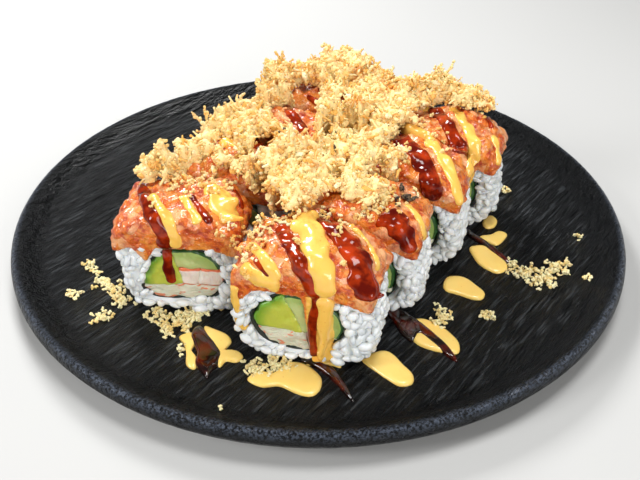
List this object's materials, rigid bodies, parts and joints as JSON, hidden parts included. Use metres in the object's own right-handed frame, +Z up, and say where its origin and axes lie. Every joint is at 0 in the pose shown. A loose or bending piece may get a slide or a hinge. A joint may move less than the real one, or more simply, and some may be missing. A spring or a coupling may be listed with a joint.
{
  "type": "uramaki roll on a plate",
  "caption": "Cut uramaki sushi roll in two leaning rows on a round dark plate, topped with chopped seafood, sauces and fried batter flakes.",
  "frame": {"origin": "centre of the plate's underside", "axes": "+Z up from the table; -Y is the side the cut faces of the nearest pieces look to"},
  "size_m": [0.27, 0.27, 0.0696],
  "materials": {
    "plate": "black satin glaze over a chiselled slate-like surface",
    "rice": "moist cooked rice, slightly translucent",
    "nori": "dark seaweed sheet",
    "avocado": "soft fruit flesh, yellow-green to green",
    "cucumber": "wet pale flesh with dark green peel",
    "crab": "shredded crab, cream with orange-red threads",
    "crab_stick": "white-pink sticks with an orange-red skin",
    "topping": "glossy chopped salmon-coloured seafood with thick sauce stripes",
    "flakes": "dry crisp fried batter flakes",
    "sauce": "smooth glossy yellow-orange sauce, with dark brown sauce in stripes"
  },
  "bodies": {
    "root": {"plate": "plate", "rice_a1": "rice", "nori_a1": "nori", "avocado_a1": "avocado", "cucumber_a1": "cucumber", "crab_a1": "crab", "topping_a1": "topping", "rice_a2": "rice", "nori_a2": "nori", "avocado_a2": "avocado", "cucumber_a2": "cucumber", "crab_a2": "crab", "topping_a2": "topping", "rice_a3": "rice", "nori_a3": "nori", "avocado_a3": "avocado", "cucumber_a3": "cucumber", "crab_a3": "crab", "topping_a3": "topping", "rice_a4": "rice", "nori_a4": "nori", "avocado_a4": "avocado", "cucumber_a4": "cucumber", "crab_a4": "crab", "topping_a4": "topping", "rice_b1": "rice", "nori_b1": "nori", "avocado_b1": "avocado", "cucumber_b1": "cucumber", "crab_b1": "crab", "topping_b1": "topping", "rice_b2": "rice", "nori_b2": "nori", "avocado_b2": "avocado", "cucumber_b2": "cucumber", "crab_b2": "crab", "topping_b2": "topping", "rice_b3": "rice", "nori_b3": "nori", "avocado_b3": "avocado", "cucumber_b3": "cucumber", "crab_b3": "crab", "topping_b3": "topping", "rice_b4": "rice", "nori_b4": "nori", "avocado_b4": "avocado", "cucumber_b4": "cucumber", "crab_b4": "crab", "topping_b4": "topping", "stick1_a1": "crab_stick", "stick2_a1": "crab_stick", "flake_heap": "flakes", "pool_front": "sauce", "pool_front_left": "sauce", "pool_front_right": "sauce", "pool_left": "sauce", "pool_right_far": "sauce", "pool_right_near": "sauce", "pool_right_oval": "sauce"}
  },
  "joints": []
}
